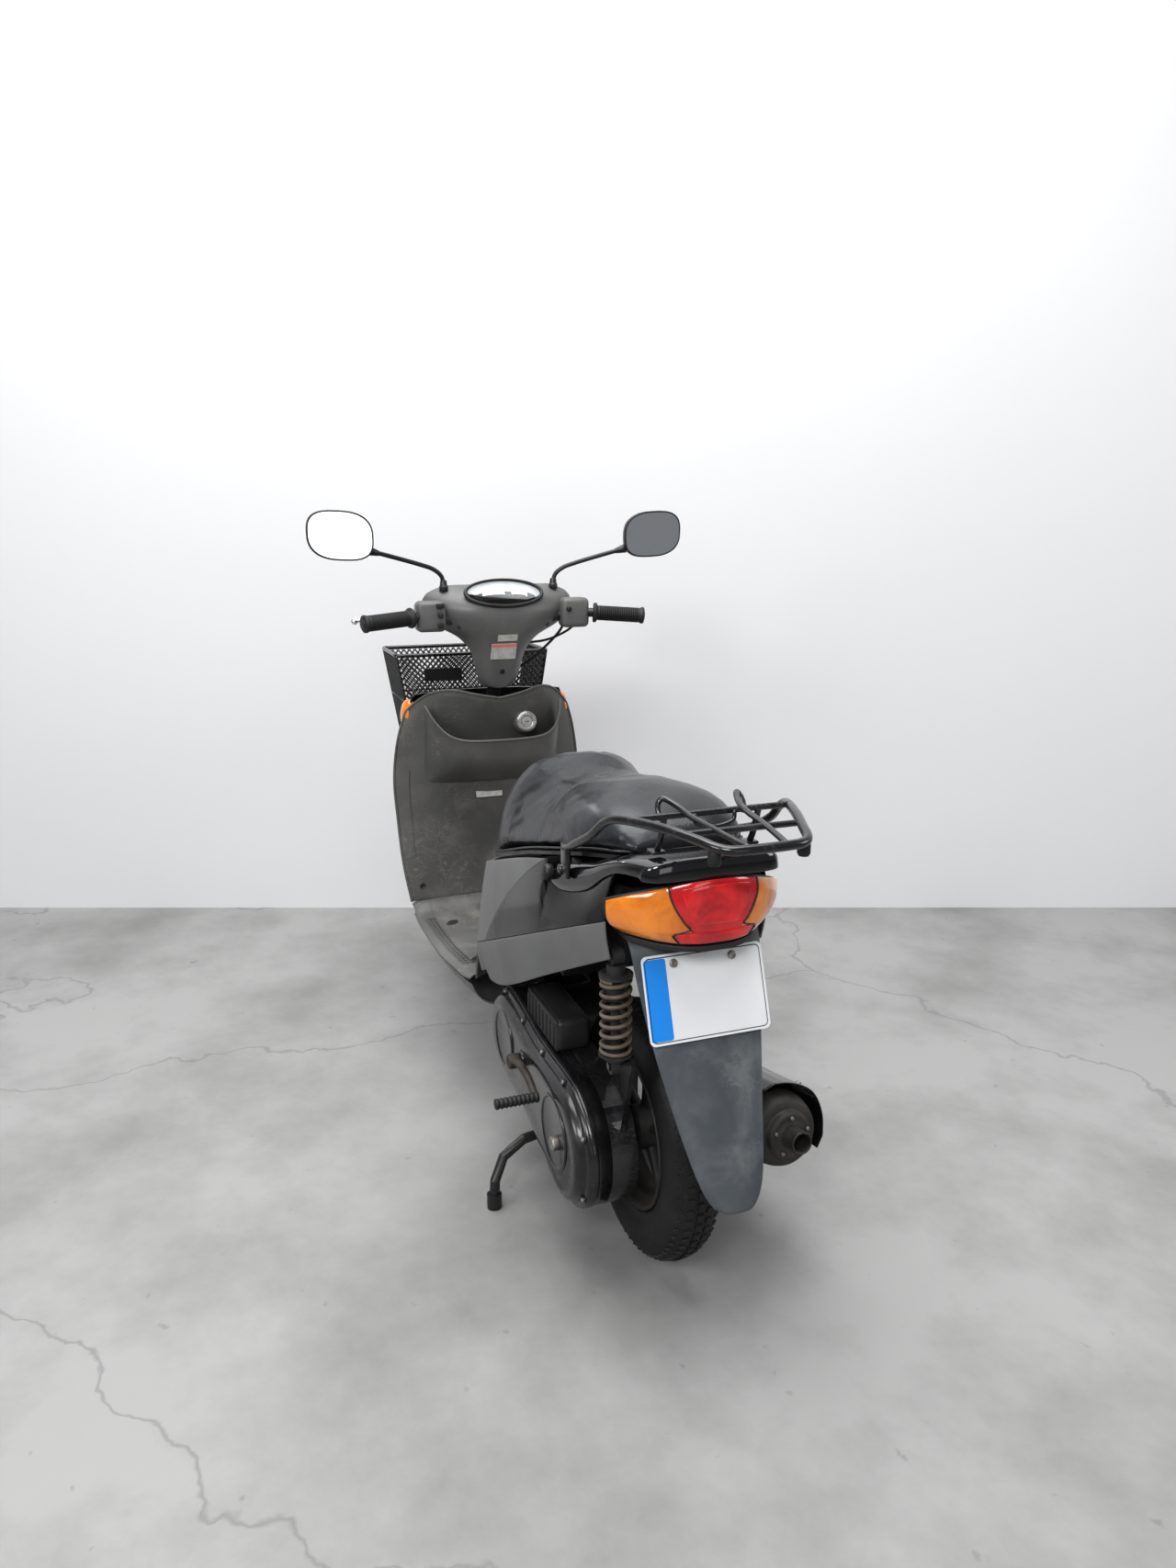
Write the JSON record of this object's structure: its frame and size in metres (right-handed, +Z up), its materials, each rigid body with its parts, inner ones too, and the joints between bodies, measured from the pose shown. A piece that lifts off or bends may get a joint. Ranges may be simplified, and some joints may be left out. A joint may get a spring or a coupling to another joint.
{
  "type": "moped scooter",
  "caption": "Step-through scooter with a swinging engine unit, telescopic fork, hinged seat over a helmet bucket, rear carrier and front basket, standing on its centre stand.",
  "frame": {"origin": "on the floor, under the middle of the overall box", "axes": "+X forward, +Y to the rider's left, +Z up"},
  "size_m": [1.8022, 0.808, 1.1915],
  "materials": {
    "frame_paint": "semi-gloss black paint",
    "carrier_paint": "semi-gloss black paint",
    "panel_grey": "grained moulded plastic, dusty",
    "skirt_grey": "moulded plastic, dusty",
    "panel_dark": "dark moulded plastic",
    "gloss_black": "polished black",
    "flap_plastic": "dusty blue-grey plastic",
    "lamp_red": "clear red lens",
    "lamp_amber": "clear amber lens",
    "lens_clear": "clear lens",
    "plate_white": "white enamel",
    "bolt_steel": "zinc plated",
    "grip_rubber": "moulded rubber",
    "lever_alloy": "polished alloy",
    "key_plastic": "black plastic",
    "horn_red": "red plastic",
    "mirror_plastic": "black shell with a silvered face",
    "fork_alloy": "cast alloy",
    "tyre_rubber": "worn tyre rubber",
    "seat_vinyl": "black vinyl cover",
    "engine_alloy": "dark cast alloy",
    "case_paint": "dark painted casting",
    "pulley_steel": "machined steel",
    "muffler_black": "heat-proof black paint",
    "guard_black": "gloss black paint",
    "kick_steel": "dark steel",
    "spring_brown": "brown coated spring steel"
  },
  "bodies": {
    "frame": {"main_frame": "frame_paint", "front_cover": "gloss_black", "leg_shield": "panel_grey", "floor_board": "panel_grey", "under_cover": "skirt_grey", "seat_front_panel": "panel_grey", "tail_cover": "gloss_black", "side_covers": "panel_dark", "lower_skirts": "skirt_grey", "tail_lamp_lens": "lamp_red", "indicator_lenses": "lamp_amber", "rear_fender": "flap_plastic", "number_plate": "plate_white", "cover_bolts": "bolt_steel", "rear_carrier": "carrier_paint", "fuel_tank": "panel_dark", "battery": "panel_dark", "helmet_box": "panel_dark", "front_basket": "carrier_paint"},
    "ignition": {"ignition_key": "bolt_steel"},
    "steering": {"steering_stem": "frame_paint", "handlebar": "frame_paint", "bar_cover_rear": "panel_grey", "bar_cover_front": "gloss_black", "headlamp_lens": "lens_clear", "instrument_panel": "lens_clear", "left_grip": "grip_rubber", "brake_cable": "grip_rubber"},
    "throttle": {"throttle_grip": "grip_rubber"},
    "left_lever": {"brake_lever_left": "lever_alloy"},
    "right_lever": {"brake_lever_right": "lever_alloy"},
    "turn_key": {"indicator_switch": "key_plastic"},
    "dip_key": {"dip_switch": "key_plastic"},
    "horn_key": {"horn_button": "horn_red"},
    "start_key": {"starter_button": "key_plastic"},
    "mirror_arm_left": {"mirror_stem_left": "frame_paint"},
    "mirror_arm_right": {"mirror_stem_right": "frame_paint"},
    "mirror_left": {"mirror_head_left": "mirror_plastic"},
    "mirror_right": {"mirror_head_right": "mirror_plastic"},
    "fork_lower": {"fork_slider": "fork_alloy", "front_fender": "gloss_black"},
    "front_wheel": {"front_tyre": "tyre_rubber", "front_rim": "fork_alloy", "brake_disc": "bolt_steel"},
    "seat": {"seat_pan": "panel_dark", "seat_cushion": "seat_vinyl"},
    "engine": {"engine_case": "engine_alloy", "cvt_cover": "case_paint", "air_cleaner": "panel_dark", "muffler": "muffler_black", "muffler_shield": "guard_black"},
    "drive_shaft": {"drive_pulley": "pulley_steel"},
    "driven_shaft": {"driven_pulley": "pulley_steel"},
    "rear_wheel": {"rear_tyre": "tyre_rubber", "rear_rim": "fork_alloy"},
    "kick": {"kick_lever": "kick_steel"},
    "stand": {"centre_stand": "frame_paint"},
    "shock_upper": {"shock_absorber": "kick_steel", "shock_spring": "spring_brown"},
    "shock_lower": {"shock_rod": "kick_steel"}
  },
  "joints": [
    {"name": "steering", "type": "hinge", "parent": "frame", "child": "steering", "pos_m": [0.4638, 0, 0.6], "axis": [-0.4462, 0, 0.8949], "range_deg": [-38, 38]},
    {"name": "ignition_turn", "type": "hinge", "parent": "frame", "child": "ignition", "pos_m": [0.33, -0.062, 0.728], "axis": [-0.9781, 0, 0.2079], "range_deg": [0, 90]},
    {"name": "throttle_turn", "type": "hinge", "parent": "steering", "child": "throttle", "pos_m": [0.262, -0.184, 0.976], "axis": [-0.3039, -0.9507, -0.0624], "range_deg": [0, 75], "stiffness_Nm_per_rad": 0.15, "springref_deg": -17.19},
    {"name": "left_lever_pull", "type": "hinge", "parent": "steering", "child": "left_lever", "pos_m": [0.302, 0.168, 0.98], "axis": [0, 0, 1], "range_deg": [0, 10], "stiffness_Nm_per_rad": 4, "springref_deg": -5.73},
    {"name": "right_lever_pull", "type": "hinge", "parent": "steering", "child": "right_lever", "pos_m": [0.302, -0.168, 0.98], "axis": [0, 0, -1], "range_deg": [0, 10], "stiffness_Nm_per_rad": 4, "springref_deg": -5.73},
    {"name": "turn_key_slide", "type": "slide", "parent": "steering", "child": "turn_key", "axis": [0, 1, 0], "range_m": [-0.003, 0.003]},
    {"name": "dip_key_press", "type": "slide", "parent": "steering", "child": "dip_key", "axis": [1, 0, 0], "range_m": [0, 0.0015], "stiffness_N_per_m": 300, "springref_m": -0.001},
    {"name": "horn_press", "type": "slide", "parent": "steering", "child": "horn_key", "axis": [1, 0, 0], "range_m": [0, 0.0015], "stiffness_N_per_m": 300, "springref_m": -0.001},
    {"name": "start_press", "type": "slide", "parent": "steering", "child": "start_key", "axis": [1, 0, 0], "range_m": [0, 0.002], "stiffness_N_per_m": 300, "springref_m": -0.001},
    {"name": "mirror_arm_left_turn", "type": "hinge", "parent": "steering", "child": "mirror_arm_left", "pos_m": [0.3, 0.122, 1.02], "axis": [0, 0, 1], "range_deg": [-30, 30]},
    {"name": "mirror_arm_right_turn", "type": "hinge", "parent": "steering", "child": "mirror_arm_right", "pos_m": [0.3, -0.122, 1.02], "axis": [0, 0, 1], "range_deg": [-30, 30]},
    {"name": "mirror_left_tilt", "type": "hinge", "parent": "mirror_arm_left", "child": "mirror_left", "pos_m": [0.272, 0.282, 1.112], "axis": [0, 0, 1], "range_deg": [-10, 10]},
    {"name": "mirror_right_tilt", "type": "hinge", "parent": "mirror_arm_right", "child": "mirror_right", "pos_m": [0.272, -0.282, 1.112], "axis": [0, 0, 1], "range_deg": [-10, 10]},
    {"name": "fork_travel", "type": "slide", "parent": "steering", "child": "fork_lower", "axis": [-0.4462, 0, 0.8949], "range_m": [0, 0.055], "stiffness_N_per_m": 9000, "springref_m": -0.05},
    {"name": "front_wheel_spin", "type": "hinge", "parent": "fork_lower", "child": "front_wheel", "pos_m": [0.69, 0, 0.208], "axis": [0, 1, 0], "continuous": true},
    {"name": "seat_open", "type": "hinge", "parent": "frame", "child": "seat", "pos_m": [-0.104, 0, 0.549], "axis": [0, 1, 0], "range_deg": [0, 50]},
    {"name": "swing", "type": "hinge", "parent": "frame", "child": "engine", "pos_m": [-0.14, 0, 0.345], "axis": [0, 1, 0], "range_deg": [0, 6], "stiffness_Nm_per_rad": 5000, "springref_deg": -1.72},
    {"name": "rear_wheel_spin", "type": "hinge", "parent": "engine", "child": "rear_wheel", "pos_m": [-0.54, 0, 0.214], "axis": [0, 1, 0], "continuous": true},
    {"name": "drive_pulley_spin", "type": "hinge", "parent": "engine", "child": "drive_shaft", "pos_m": [-0.215, 0, 0.25], "axis": [0, 1, 0], "continuous": true},
    {"name": "driven_pulley_spin", "type": "hinge", "parent": "engine", "child": "driven_shaft", "pos_m": [-0.524, 0, 0.232], "axis": [0, 1, 0], "continuous": true},
    {"name": "kick_push", "type": "hinge", "parent": "engine", "child": "kick", "pos_m": [-0.345, 0, 0.262], "axis": [0, -1, 0], "range_deg": [0, 55], "stiffness_Nm_per_rad": 2, "springref_deg": -28.65},
    {"name": "stand_fold", "type": "hinge", "parent": "engine", "child": "stand", "pos_m": [-0.39, 0, 0.118], "axis": [0, 1, 0], "range_deg": [0, 70]},
    {"name": "shock_tilt", "type": "hinge", "parent": "frame", "child": "shock_upper", "pos_m": [-0.66, 0.104, 0.57], "axis": [0, 1, 0], "range_deg": [-4, 0]},
    {"name": "shock_slide", "type": "slide", "parent": "shock_upper", "child": "shock_lower", "axis": [0, 0, 1], "range_m": [0, 0.056], "deforming": ["shock_spring"]}
  ],
  "couplings": [
    {"joint": "drive_pulley_spin", "follows": "rear_wheel_spin", "ratio": 9.6},
    {"joint": "driven_pulley_spin", "follows": "rear_wheel_spin", "ratio": 8},
    {"joint": "shock_tilt", "follows": "swing", "ratio": -0.6},
    {"joint": "shock_slide", "follows": "swing", "m_per_rad": 0.516}
  ]
}
